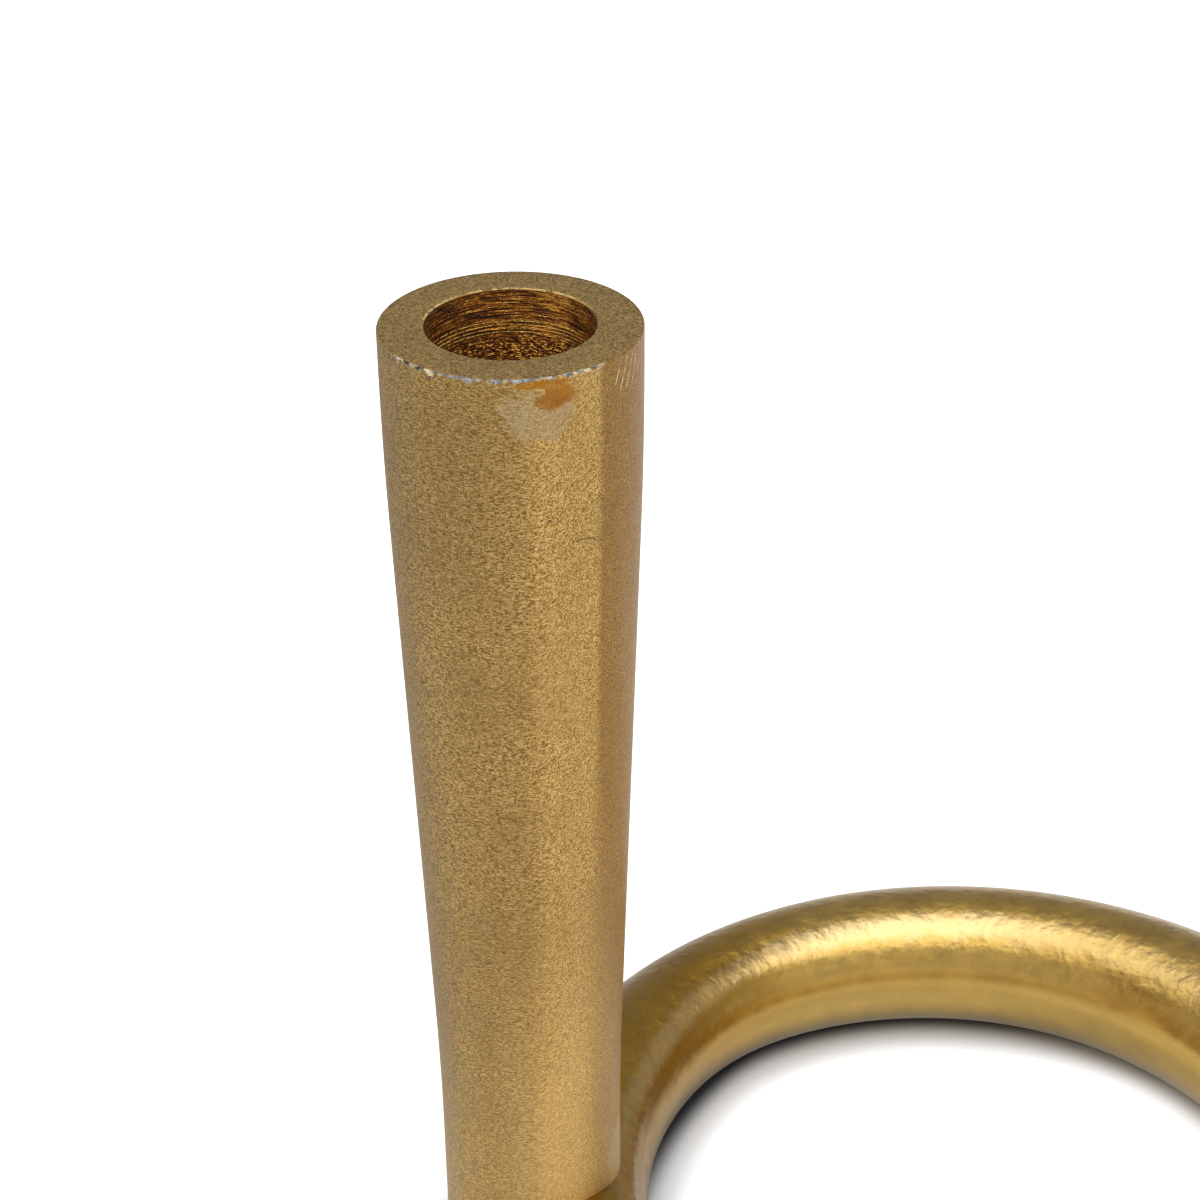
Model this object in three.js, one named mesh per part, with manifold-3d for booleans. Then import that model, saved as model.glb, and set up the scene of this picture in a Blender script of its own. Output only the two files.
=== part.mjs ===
// Taper candle holder. A tapered upright with a candle socket bored into its top stands over a heavy
// ring that lies flat on the table. The upright's foot is slotted to drop over the ring, and a screw
// from beneath holds it. Millimetres, +Z up. +X runs from the upright across the ring. The origin lies
// on the table, below the middle of the part's outline.

import * as THREE from 'three';
import { mergeVertices } from 'three/addons/utils/BufferGeometryUtils.js';
import Module from 'manifold-3d';

const wasm = await Module();
wasm.setup();

// Upright
const HEIGHT = 168.5; // from the table to the rim
const RIM_RADIUS = 17.7;
const FOOT_RADIUS = 14.05;
const TAPER_START = 42; // height above the table where the straight foot turns into the taper
const TAPER_END = 18; // distance below the rim where the taper turns into the straight head
const TAPER_BLEND = 12; // length of each soft bend, to either side of its corner
const RIM_EDGE = 0.35; // rounding of the rim's outer edge
const FOOT_EDGE = 0.6; // chamfer around the foot

// Candle socket
const SOCKET_RADIUS = 11;
const SOCKET_DEPTH = 24;
const MOUTH_RADIUS = 11.4; // the first stretch is bored a little wider
const MOUTH_DEPTH = 4.5;
const MOUTH_CHAMFER = 0.4;

// Ring
const RING_RADIUS = 64.5; // of the bar's centre line
const BAR_THIN = 11.8; // radius of the round bar at the upright
const BAR_THICK = 14.5; // radius of the bar on the far side
const BAR_GATHER = 3; // a higher power keeps the thick stretch closer to the far side
const BAR_WAIST = 0.5; // how much slimmer the bar gets on its way from the far side to the upright
const RING_SWELL = 1.1; // how far the centre line swells out of the circle at that waist
const WAIST_TURN = THREE.MathUtils.degToRad(128); // from the far side round to the waist, to either side
const WAIST_SPREAD = THREE.MathUtils.degToRad(22); // how far along the ring the waist fades
const RING_INSET = 6.8; // from the upright's axis in to the bar's centre line

// Screw and washers
const SHANK_RADIUS = 3;
const SHANK_LENGTH = 30;
const SHANK_POINT = 0.8; // chamfer at the tip
const HEAD_RADIUS = 5;
const HEAD_HEIGHT = 6;
const HEAD_EDGE = 0.5;
const HEX_ACROSS_CORNERS = 5.77;
const HEX_DEPTH = 3;
const LOCK_RADIUS = 4.95;
const LOCK_THICKNESS = 1.6;
const LOCK_SPLIT = 0.35; // half of the angle of the slit, in radians
const WASHER_RADIUS = 5.5;
const WASHER_THICKNESS = 1.6;
const HEAD_RECESS = 1; // how far the head lies above the ring's flat underside
const TIP_ROOM = 3; // free depth of the tapped hole past the screw's tip

// Felt pads
const PAD_RADIUS = 4;
const PAD_THICKNESS = 1.5;
const PAD_EDGE = 0.3;
const PAD_TURN = THREE.MathUtils.degToRad(100); // from the far pad round to the side pads

// Clearances
const SADDLE_GAP = 0.3; // between the slot in the foot and the bar
const HOLE_GAP = 0.3; // around the screw and inside the washers
const RECESS_GAP = 0.3; // around the widest piece in the counterbore

// Fineness of round shapes
const RING_STEPS = 96;
const BAR_STEPS = 16; // over half of the bar's section
const UNDER_STEPS = 5; // from the bar's widest line down to its flat
const UPRIGHT_STEPS = 72;
const SMALL_STEPS = 32;
const CURVE_STEPS = 4;

// Places that follow from the sizes. X counts from the upright's axis until the finished part is moved.
const UNDERSIDE = PAD_THICKNESS; // the ring is ground flat beneath, level with the top of the pads
const RING_X = RING_INSET + RING_RADIUS;
const FAR_REACH = RING_X + RING_RADIUS + BAR_THICK;
const HEAD_BOTTOM = UNDERSIDE + HEAD_RECESS;
const HEAD_TOP = HEAD_BOTTOM + HEAD_HEIGHT;
const LOCK_TOP = HEAD_TOP + LOCK_THICKNESS;
const WASHER_TOP = LOCK_TOP + WASHER_THICKNESS;
const TIP = HEAD_TOP + SHANK_LENGTH;
const HOLE_RADIUS = SHANK_RADIUS + HOLE_GAP;
const RECESS_RADIUS = Math.max(HEAD_RADIUS, LOCK_RADIUS, WASHER_RADIUS) + RECESS_GAP;
const BELOW = -1; // cutters start under the table, clear of every face

const gold = { color: 0xc8a24a, roughness: 0.42, metalness: 0.9 };
const steel = { color: 0xa9abad, roughness: 0.35, metalness: 1 };
const felt = { color: 0x2c2a28, roughness: 0.95, metalness: 0 };

/** A round solid turned about Z from a path of radius and height that starts and ends on the axis. */
function turned(path, steps) {
  const geometry = new THREE.LatheGeometry(path.getPoints(CURVE_STEPS), steps);
  return geometry.rotateX(Math.PI / 2);
}

/** A path through corners of radius and height. */
function cornered(corners) {
  return new THREE.Path(corners.map(([radius, height]) => new THREE.Vector2(radius, height)));
}

/** A closed geometry as a solid that can be joined and cut. */
function solidOf(geometry) {
  const bare = new THREE.BufferGeometry();
  bare.setAttribute('position', geometry.getAttribute('position'));
  bare.setIndex(geometry.getIndex());
  const merged = mergeVertices(bare);
  const corners = merged.getIndex().array;
  const triangles = [];
  for (let i = 0; i < corners.length; i += 3) {
    const [a, b, c] = corners.slice(i, i + 3);
    if (a !== b && b !== c && c !== a) triangles.push(a, b, c);
  }
  const vertProperties = new Float32Array(merged.getAttribute('position').array);
  const triVerts = new Uint32Array(triangles);
  return new wasm.Manifold(new wasm.Mesh({ numProp: 3, vertProperties, triVerts }));
}

/** A solid as a geometry again. */
function geometryOf(solid) {
  const { vertProperties, triVerts } = solid.getMesh();
  const geometry = new THREE.BufferGeometry();
  geometry.setAttribute('position', new THREE.BufferAttribute(vertProperties, 3));
  geometry.setIndex(new THREE.BufferAttribute(triVerts, 1));
  geometry.computeVertexNormals();
  return geometry;
}

/** One geometry with others cut out of it. */
function cut(geometry, ...cutters) {
  return geometryOf(cutters.reduce((rest, cutter) => rest.subtract(solidOf(cutter)), solidOf(geometry)));
}

/** One named piece of the holder. */
function piece(name, geometry, look) {
  const mesh = new THREE.Mesh(geometry, new THREE.MeshStandardMaterial(look));
  mesh.name = name;
  return mesh;
}

/** 1 at the waists to either side of the upright, fading to 0 along the ring; turns start at the far side. */
function waist(turn) {
  const turnFromFar = Math.acos(Math.cos(turn));
  return Math.exp(-(((turnFromFar - WAIST_TURN) / WAIST_SPREAD) ** 2));
}

/** Radius of the bar at a turn round the ring. */
function barRadius(turn) {
  const far = (1 + Math.cos(turn)) / 2;
  return BAR_THIN + (BAR_THICK - BAR_THIN) * far ** BAR_GATHER - BAR_WAIST * waist(turn);
}

/** Distance from the ring's centre to the bar's centre line at a turn round the ring. */
function barReach(turn) {
  return RING_RADIUS + RING_SWELL * waist(turn);
}

/** Points [outwards, up] on the bar's round section between two angles, grown by a gap. */
function barArc(turn, from, to, steps, gap = 0) {
  const radius = barRadius(turn);
  return Array.from({ length: steps + 1 }, (_, i) => {
    const angle = THREE.MathUtils.lerp(from, to, i / steps);
    return [(radius + gap) * Math.cos(angle), radius + (radius + gap) * Math.sin(angle)];
  });
}

/** Section of the ring: a round bar that would just touch the table, ground flat beneath. */
function barSection(turn) {
  const radius = barRadius(turn);
  const under = Math.asin((radius - UNDERSIDE) / radius);
  const outside = barArc(turn, -under, 0, UNDER_STEPS);
  const top = barArc(turn, 0, Math.PI, BAR_STEPS);
  const inside = barArc(turn, Math.PI, Math.PI + under, UNDER_STEPS);
  return [...outside, ...top.slice(1), ...inside.slice(1)];
}

/** Section of the slot that lets the upright drop over the bar: round above, straight down to the table. */
function slotSection(turn) {
  const half = barRadius(turn) + SADDLE_GAP;
  return [...barArc(turn, 0, Math.PI, BAR_STEPS, SADDLE_GAP), [-half, BELOW], [half, BELOW]];
}

/** A closed ring swept around the ring's centre from a section that may change with the angle. */
function sweptRing(section) {
  const positions = [];
  const triangles = [];
  for (let i = 0; i < RING_STEPS; i++) {
    const turn = (2 * Math.PI * i) / RING_STEPS;
    for (const [outwards, up] of section(turn)) {
      const reach = barReach(turn) + outwards;
      positions.push(RING_X + reach * Math.cos(turn), reach * Math.sin(turn), up);
    }
  }
  const count = section(0).length;
  for (let i = 0; i < RING_STEPS; i++) {
    const here = i * count;
    const next = ((i + 1) % RING_STEPS) * count;
    for (let j = 0; j < count; j++) {
      const k = (j + 1) % count;
      triangles.push(here + j, next + j, here + k);
      triangles.push(here + k, next + j, next + k);
    }
  }
  const geometry = new THREE.BufferGeometry();
  geometry.setAttribute('position', new THREE.Float32BufferAttribute(positions, 3));
  geometry.setIndex(triangles);
  return geometry;
}

/** Outline of the upright from the middle of its foot over the rim to the middle of the socket's floor. */
function uprightOutline() {
  const taperTop = HEIGHT - TAPER_END;
  const lean = (RIM_RADIUS - FOOT_RADIUS) / (taperTop - TAPER_START);
  const step = MOUTH_RADIUS - SOCKET_RADIUS;
  const path = new THREE.Path();
  path.moveTo(0, UNDERSIDE);
  path.lineTo(FOOT_RADIUS - FOOT_EDGE, UNDERSIDE);
  path.lineTo(FOOT_RADIUS, UNDERSIDE + FOOT_EDGE);
  path.lineTo(FOOT_RADIUS, TAPER_START - TAPER_BLEND);
  const low = FOOT_RADIUS + lean * TAPER_BLEND;
  path.quadraticCurveTo(FOOT_RADIUS, TAPER_START, low, TAPER_START + TAPER_BLEND);
  path.lineTo(RIM_RADIUS - lean * TAPER_BLEND, taperTop - TAPER_BLEND);
  path.quadraticCurveTo(RIM_RADIUS, taperTop, RIM_RADIUS, taperTop + TAPER_BLEND);
  path.lineTo(RIM_RADIUS, HEIGHT - RIM_EDGE);
  path.quadraticCurveTo(RIM_RADIUS, HEIGHT, RIM_RADIUS - RIM_EDGE, HEIGHT);
  path.lineTo(MOUTH_RADIUS + MOUTH_CHAMFER, HEIGHT);
  path.lineTo(MOUTH_RADIUS, HEIGHT - MOUTH_CHAMFER);
  path.lineTo(MOUTH_RADIUS, HEIGHT - MOUTH_DEPTH);
  path.lineTo(SOCKET_RADIUS, HEIGHT - MOUTH_DEPTH - step);
  path.lineTo(SOCKET_RADIUS, HEIGHT - SOCKET_DEPTH);
  path.lineTo(0, HEIGHT - SOCKET_DEPTH);
  return path;
}

function upright() {
  const body = turned(uprightOutline(), UPRIGHT_STEPS);
  const tapped = [[0, BELOW], [HOLE_RADIUS, BELOW], [HOLE_RADIUS, TIP + TIP_ROOM], [0, TIP + TIP_ROOM]];
  const hole = turned(cornered(tapped), SMALL_STEPS).translate(RING_INSET, 0, 0);
  return piece('upright', cut(body, sweptRing(slotSection), hole), gold);
}

function ringBase() {
  const above = 2 * BAR_THIN + SADDLE_GAP;
  const stepped = cornered([
    [0, BELOW],
    [RECESS_RADIUS, BELOW],
    [RECESS_RADIUS, WASHER_TOP],
    [HOLE_RADIUS, WASHER_TOP],
    [HOLE_RADIUS, above],
    [0, above],
  ]);
  const hole = turned(stepped, SMALL_STEPS).translate(RING_INSET, 0, 0);
  return piece('ring_base', cut(sweptRing(barSection), hole), gold);
}

function clampScrew() {
  const outline = cornered([
    [0, HEAD_BOTTOM],
    [HEAD_RADIUS - HEAD_EDGE, HEAD_BOTTOM],
    [HEAD_RADIUS, HEAD_BOTTOM + HEAD_EDGE],
    [HEAD_RADIUS, HEAD_TOP],
    [SHANK_RADIUS, HEAD_TOP],
    [SHANK_RADIUS, TIP - SHANK_POINT],
    [SHANK_RADIUS - SHANK_POINT, TIP],
    [0, TIP],
  ]);
  const hexLength = HEX_DEPTH + HEAD_RECESS;
  const hex = new THREE.CylinderGeometry(HEX_ACROSS_CORNERS / 2, HEX_ACROSS_CORNERS / 2, hexLength, 6);
  hex.rotateX(Math.PI / 2).translate(0, 0, HEAD_BOTTOM + HEX_DEPTH - hexLength / 2);
  const screw = piece('clamp_screw', cut(turned(outline, SMALL_STEPS), hex), steel);
  screw.position.x = RING_INSET;
  return screw;
}

/** Split spring washer, pressed flat under the screw's head. */
function lockWasher() {
  const ring = new THREE.Shape();
  ring.absarc(0, 0, LOCK_RADIUS, LOCK_SPLIT, 2 * Math.PI - LOCK_SPLIT, false);
  ring.absarc(0, 0, HOLE_RADIUS, 2 * Math.PI - LOCK_SPLIT, LOCK_SPLIT, true);
  const extrusion = { depth: LOCK_THICKNESS, bevelEnabled: false, curveSegments: SMALL_STEPS };
  const washer = piece('lock_washer', new THREE.ExtrudeGeometry(ring, extrusion), steel);
  washer.position.set(RING_INSET, 0, HEAD_TOP);
  return washer;
}

function flatWasher() {
  const disc = new THREE.Shape();
  disc.absarc(0, 0, WASHER_RADIUS, 0, 2 * Math.PI, false);
  const hole = new THREE.Path();
  hole.absarc(0, 0, HOLE_RADIUS, 0, 2 * Math.PI, true);
  disc.holes.push(hole);
  const extrusion = { depth: WASHER_THICKNESS, bevelEnabled: false, curveSegments: SMALL_STEPS };
  const washer = piece('flat_washer', new THREE.ExtrudeGeometry(disc, extrusion), steel);
  washer.position.set(RING_INSET, 0, LOCK_TOP);
  return washer;
}

/** Felt pad from the table up to the underside of what it carries. */
function footPad(name, x, y) {
  const outline = cornered([
    [0, 0],
    [PAD_RADIUS - PAD_EDGE, 0],
    [PAD_RADIUS, PAD_EDGE],
    [PAD_RADIUS, PAD_THICKNESS],
    [0, PAD_THICKNESS],
  ]);
  const pad = piece(`foot_pad_${name}`, turned(outline, SMALL_STEPS), felt);
  pad.position.set(x, y, 0);
  return pad;
}

/** Felt pads: three under the ring, and one under the part of the foot that the slot leaves standing. */
function footPads() {
  const ringPads = [['far', 0], ['back', PAD_TURN], ['front', -PAD_TURN]].map(([name, turn]) =>
    footPad(name, RING_X + barReach(turn) * Math.cos(turn), barReach(turn) * Math.sin(turn)));
  const slotSide = RING_INSET - BAR_THIN - SADDLE_GAP;
  return [...ringPads, footPad('upright', (slotSide - FOOT_RADIUS) / 2, 0)];
}

const holder = new THREE.Group();
holder.add(upright(), ringBase(), clampScrew(), lockWasher(), flatWasher(), ...footPads());
holder.position.x = (RIM_RADIUS - FAR_REACH) / 2;

export default holder;
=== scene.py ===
"""Taper candle holder: a tapered upright over a round-bar ring, lacquered gold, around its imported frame."""

from math import atan2, cos, exp, pi, radians

import bpy
from bpy.props import FloatProperty, FloatVectorProperty, IntProperty, PointerProperty
from bpy.types import Operator, Panel, PropertyGroup
from mathutils import Matrix, Vector


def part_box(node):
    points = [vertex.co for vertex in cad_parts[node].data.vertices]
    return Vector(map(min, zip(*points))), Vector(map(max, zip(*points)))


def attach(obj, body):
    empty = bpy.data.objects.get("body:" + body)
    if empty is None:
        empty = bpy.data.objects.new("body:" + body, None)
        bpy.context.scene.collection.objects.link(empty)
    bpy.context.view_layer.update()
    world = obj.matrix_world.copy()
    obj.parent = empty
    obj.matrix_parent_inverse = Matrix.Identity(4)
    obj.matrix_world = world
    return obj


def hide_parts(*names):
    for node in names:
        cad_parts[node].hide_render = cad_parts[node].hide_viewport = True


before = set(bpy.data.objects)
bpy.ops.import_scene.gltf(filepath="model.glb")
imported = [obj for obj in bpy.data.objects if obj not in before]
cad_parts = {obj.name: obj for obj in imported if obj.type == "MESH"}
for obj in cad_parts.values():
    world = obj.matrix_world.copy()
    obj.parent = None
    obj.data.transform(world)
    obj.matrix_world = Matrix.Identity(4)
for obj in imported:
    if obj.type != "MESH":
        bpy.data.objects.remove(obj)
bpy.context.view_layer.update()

bl_info = {
    "name": "Taper Candle Holder",
    "version": (1, 0, 0),
    "blender": (4, 5, 0),
    "location": "View3D > Sidebar > Candle Holder",
    "description": "Models and finishes a ring-based taper candle holder",
    "category": "Object",
}

MM = 0.001
UPRIGHT_LOW, UPRIGHT_HIGH = (Vector(corner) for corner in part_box("upright"))
RING_LOW, RING_HIGH = (Vector(corner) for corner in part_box("ring_base"))
PAD_HIGH = Vector(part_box("foot_pad_far")[1])
PADS = ("foot_pad_far", "foot_pad_back", "foot_pad_front", "foot_pad_upright")
FIXINGS = ("clamp_screw", "lock_washer", "flat_washer")
BODY = "root"
WHITE = (1, 1, 1, 1)

SLOT_POINTS, SLOT_AROUND = 96, 20
BAR_POINTS, BAR_AROUND = 128, 22
CURVE_STEPS = 3
TAPER_STEPS = 8
RIM_STEPS = 6
EDGE_STEPS = 4
SLOT_STEPS = 256
HOLE_STEPS = 48
PAD_STEPS = 64
PAD_EDGE, PAD_EDGE_STEPS = 0.25 * MM, 3
MERGE_DISTANCE = 0.001 * MM
SMOOTH_ANGLE = radians(30)

FLOOR_SIZE = 8
SENSOR_WIDTH = 36
CLIP_START = 0.01
ROOM_FADE = 0.7

# Name, place, width, depth and radiance of each light. Together they make one long highlight of uneven
# strength along the ring's far arc.
SOFTBOXES = (
    ("overhead_right", (0.375, -0.335, 0.76), 0.43, 0.77, 1.75),
    ("overhead", (0.10, -0.19, 0.76), 0.12, 0.90, 3.0),
    ("overhead_middle", (-0.02, -0.12, 0.76), 0.12, 0.80, 1.9),
    ("overhead_left", (-0.41, -0.08, 0.76), 0.66, 0.75, 1.6),
)


def length(name, description, default):
    """A length that a user may change, in metres."""
    return FloatProperty(
        name=name, description=description, default=default, min=0.0, unit="LENGTH", precision=5
    )


def colour(name, description, default):
    """A linear colour that a user may change."""
    return FloatVectorProperty(
        name=name, description=description, default=default, subtype="COLOR", size=3, min=0.0, max=1.0
    )


class UprightSizes(PropertyGroup):
    """Sizes of the upright and its candle socket."""

    rim_radius: length("Rim radius", "Radius of the straight head", (UPRIGHT_HIGH.x - UPRIGHT_LOW.x) / 2)
    foot_radius: length("Foot radius", "Radius of the straight foot", 14.05 * MM)
    taper_start: length("Taper start", "Height above the table where the taper begins", 42 * MM)
    taper_end: length("Taper end", "Distance below the rim where the taper ends", 18 * MM)
    taper_blend: length("Taper blend", "Length of the soft bend at each end of the taper", 12 * MM)
    rim_edge: length("Rim edge", "Rounding of the rim's outer edge", 0.35 * MM)
    foot_edge: length("Foot edge", "Rounding around the foot", 0.6 * MM)
    mouth_radius: length("Mouth radius", "Radius of the socket's wider mouth", 11.4 * MM)
    mouth_depth: length("Mouth depth", "Depth of the socket's wider mouth", 4.5 * MM)
    mouth_edge: length("Mouth edge", "Rounding of the socket's edge", 0.4 * MM)
    socket_radius: length("Socket radius", "Radius of the socket below its mouth", 11 * MM)
    socket_depth: length("Socket depth", "Depth of the socket below the rim", 24 * MM)
    slot_gap: length("Slot gap", "Clearance between the slotted foot and the bar", 0.06 * MM)
    steps: IntProperty(name="Steps", description="Corners around the upright", default=256, min=24)


class RingSizes(PropertyGroup):
    """Sizes of the ring and its fixing hole."""

    radius: length("Ring radius", "Radius of the bar's centre line", 64.5 * MM)
    thin: length("Thin bar", "Radius of the bar at the upright", 11.8 * MM)
    thick: length("Thick bar", "Radius of the bar on the far side", RING_HIGH.z / 2)
    gather: FloatProperty(
        name="Gather", description="How closely the thick stretch keeps to the far side", default=3
    )
    waist: length("Waist", "How much slimmer the bar gets on its way to the upright", 0.5 * MM)
    swell: length("Swell", "How far the centre line swells out of the circle at the waist", 1.1 * MM)
    waist_turn: FloatProperty(
        name="Waist turn", description="From the far side round to the waist", subtype="ANGLE",
        default=radians(128),
    )
    waist_spread: FloatProperty(
        name="Waist spread", description="How far round the ring the waist fades", subtype="ANGLE",
        default=radians(22),
    )
    inset: length("Inset", "From the upright's axis in to the bar's centre line", 6.8 * MM)
    hole_radius: length("Hole radius", "Radius of the screw's hole", 3.3 * MM)
    recess_radius: length("Recess radius", "Radius of the recess for the screw's head", 5.8 * MM)
    recess_top: length("Recess top", "Height of the recess's floor above the table", 11.7 * MM)
    tapped_top: length("Tapped top", "Height above the table of the end of the tapped hole", 41.5 * MM)


class Finishes(PropertyGroup):
    """Colours of the lacquer, the bare metal, the steel and the felt; some lacquer colours are painted light
    and shade.
    """

    gold: colour("Gold", "Main colour of the lacquer", (0.43, 0.262, 0.074))
    gold_light: colour("Light gold", "Colour of the lacquer on raised grain", (0.70, 0.475, 0.172))
    gold_dark: colour("Dark gold", "Colour of the lacquer in the pores", (0.185, 0.082, 0.010))
    flake: colour("Flake", "Bright flakes in the lacquer", (0.90, 0.74, 0.42))
    olive: colour("Olive", "Raised grain of the faced rim", (0.375, 0.238, 0.064))
    olive_dark: colour("Dark olive", "Pores of the faced rim", (0.125, 0.066, 0.010))
    # Glaze colour of the painted shade on the filed strip at the right.
    strip: colour("Filed strip", "Glaze over the lacquer of the strip at the right", (0.61, 0.54, 0.375))
    # Colour of the painted highlight along the crest of the ring.
    crest_highlight: colour("Crest", "Paler lacquer along the crest of the ring", (0.69, 0.52, 0.26))
    bar: colour("Bar", "Lacquer on the ring", (0.468, 0.297, 0.067))
    bar_brown: colour("Brown bar", "Deeper lacquer on the ring beside the upright", (0.31, 0.162, 0.008))
    bar_tan: colour("Tan bar", "Smooth inner side of the ring beside the upright", (0.385, 0.215, 0.038))
    # The socket's amber colours are painted shade, darker and redder than the lacquer outside.
    amber: colour("Amber", "Lacquer on the turned ridges of the socket", (0.43, 0.140, 0.008))
    amber_dark: colour("Dark amber", "Lacquer pooled in the socket's grooves", (0.034, 0.009, 0.001))
    # Greyer colour of the painted reflection at the left side.
    grey_sheen_left: colour("Smoky gold", "Greyer lacquer at the left", (0.44, 0.30, 0.135))
    # Colour of the painted glints in the socket.
    painted_glint: colour("Glint", "Bright turned metal in the socket", (1.0, 0.60, 0.13))
    # Paler colour of the painted light at the front of the foot.
    rubbed_and_painted_light: colour("Rubbed gold", "Smooth pale lacquer at the front of the foot", (0.74, 0.50, 0.175))
    stain: colour("Stain", "Rusty stain below the rim", (0.37, 0.140, 0.0))
    dust: colour("Dust", "Pale rubbed patch below the rim", (0.55, 0.415, 0.215))
    soot: colour("Soot", "Dark pits and chips", (0.03, 0.02, 0.012))
    bare: colour("Bare metal", "Cast metal where the lacquer has chipped off", (0.40, 0.395, 0.40))
    bare_dark: colour("Dull metal", "Tarnished metal where the lacquer has chipped off", (0.16, 0.155, 0.155))
    steel: colour("Steel", "Zinc-plated screw and washers", (0.58, 0.59, 0.60))
    felt: colour("Felt", "Felt pads", (0.030, 0.027, 0.025))


class StageSizes(PropertyGroup):
    """Camera, floor and lights."""

    lens: FloatProperty(name="Lens", description="Focal length on a 36 mm sensor", default=74.55, min=1.0)
    eye: FloatVectorProperty(
        name="Eye", description="Camera's place from the middle of the rim", size=3, unit="LENGTH",
        default=(11.5 * MM, -300.9 * MM, 133.5 * MM),
    )
    pitch: FloatProperty(
        name="Pitch", description="How far the camera looks down", subtype="ANGLE",
        default=radians(30.30),
    )
    roll: FloatProperty(
        name="Roll", description="Turn of the camera about its view", subtype="ANGLE",
        default=radians(-0.47),
    )
    floor: colour("Floor", "Pale floor", (0.83, 0.85, 0.875))
    # Colour of the painted contact shadow on the floor.
    contact: colour("Contact", "Floor in the shade where the ring lies on it", (0.047, 0.052, 0.058))
    room_front: FloatProperty(
        name="Room front", description="Brightness of the room behind the camera", default=0.86
    )
    room_back: FloatProperty(
        name="Room back", description="Brightness of the room behind the holder", default=0.42
    )


def deselect_all():
    """Leaves edit mode with nothing selected."""
    if bpy.context.object and bpy.context.object.mode != "OBJECT":
        bpy.ops.object.mode_set(mode="OBJECT")
    bpy.ops.object.select_all(action="DESELECT")


def edit_all():
    """Opens the active mesh in edit mode with everything selected."""
    bpy.ops.object.mode_set(mode="EDIT")
    bpy.ops.mesh.select_all(action="SELECT")


def settle(name):
    """Names the active object, puts its place into its mesh and smooths all but its sharp edges."""
    piece = bpy.context.object
    if piece.mode != "EDIT":
        edit_all()
    bpy.ops.mesh.select_all(action="SELECT")
    bpy.ops.mesh.remove_doubles(threshold=MERGE_DISTANCE)
    bpy.ops.mesh.normals_make_consistent(inside=False)
    bpy.ops.object.mode_set(mode="OBJECT")
    bpy.ops.object.transform_apply(location=True, rotation=True, scale=True)
    bpy.ops.object.shade_smooth_by_angle(angle=SMOOTH_ANGLE)
    piece.name = name
    piece.data.name = name
    return piece


def draw_up(outline, centre, steps):
    """A round solid drawn up ring by ring from a filled disc, along an outline of radius and height."""
    deselect_all()
    radius, height = outline[0]
    bpy.ops.mesh.primitive_circle_add(
        vertices=steps, radius=radius, fill_type="NGON", location=(centre.x, centre.y, height)
    )
    edit_all()
    for next_radius, next_height in outline[1:]:
        bpy.ops.mesh.extrude_region_move(TRANSFORM_OT_translate={"value": (0, 0, next_height - height)})
        ratio = next_radius / radius
        bpy.ops.transform.resize(value=(ratio, ratio, 1), center_override=(centre.x, centre.y, next_height))
        radius, height = next_radius, next_height
    return bpy.context.object


def cut_away(piece, cutter):
    """Cuts one object out of another and removes the cutter."""
    deselect_all()
    piece.select_set(True)
    bpy.context.view_layer.objects.active = piece
    bpy.ops.object.modifier_add(type="BOOLEAN")
    modifier = piece.modifiers[-1]
    modifier.operation = "DIFFERENCE"
    modifier.solver = "EXACT"
    modifier.object = cutter
    bpy.ops.object.modifier_apply(modifier=modifier.name)
    bpy.data.objects.remove(cutter)


def bend(start, corner, end, steps):
    """Points of a soft bend from start to end, drawn towards a corner, without its first point."""
    points = []
    for step in range(1, steps + 1):
        t = step / steps
        points.append(tuple(
            (1 - t) ** 2 * a + 2 * t * (1 - t) * b + t**2 * c for a, b, c in zip(start, corner, end)
        ))
    return points


def upright_axis():
    """The upright's axis in plan."""
    return ((UPRIGHT_LOW + UPRIGHT_HIGH) / 2).xy


def ring_centre(ring):
    """Middle of the ring in plan."""
    axis = upright_axis()
    return Vector((axis.x + ring.inset + ring.radius, axis.y))


def waist(ring, turn):
    """1 at the waists beside the upright, fading to 0 along the ring; turns start at the far side."""
    return exp(-(((abs(turn) - ring.waist_turn) / ring.waist_spread) ** 2))


def bar_radius(ring, turn):
    """Radius of the bar at a turn round the ring."""
    far = ((1 + cos(turn)) / 2) ** ring.gather
    return ring.thin + (ring.thick - ring.thin) * far - ring.waist * waist(ring, turn)


def round_bar(ring, gap, points, around):
    """The ring's round bar as a mesh, resting on the table, grown by a gap."""
    deselect_all()
    centre = ring_centre(ring)
    bpy.ops.curve.primitive_bezier_circle_add(radius=ring.radius, location=(centre.x, centre.y, 0))
    bar = bpy.context.object
    bpy.ops.object.mode_set(mode="EDIT")
    bpy.ops.curve.select_all(action="SELECT")
    bpy.ops.curve.subdivide(number_cuts=points // 4 - 1)
    bpy.ops.object.mode_set(mode="OBJECT")
    bar.data.bevel_depth = ring.thin
    bar.data.bevel_resolution = around
    bar.data.resolution_u = CURVE_STEPS
    bar.data.twist_mode = "Z_UP"
    spline = bar.data.splines[0]
    spline.radius_interpolation = "CARDINAL"
    for point in spline.bezier_points:
        turn = atan2(point.co.y, point.co.x)
        radius = bar_radius(ring, turn)
        swell = 1 + ring.swell * waist(ring, turn) / ring.radius
        point.radius = (radius + gap) / ring.thin
        for place in (point.co, point.handle_left, point.handle_right):
            place.xy = place.xy * swell
            place.z = radius
    bpy.ops.object.convert(target="MESH")
    return bpy.context.object


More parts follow.
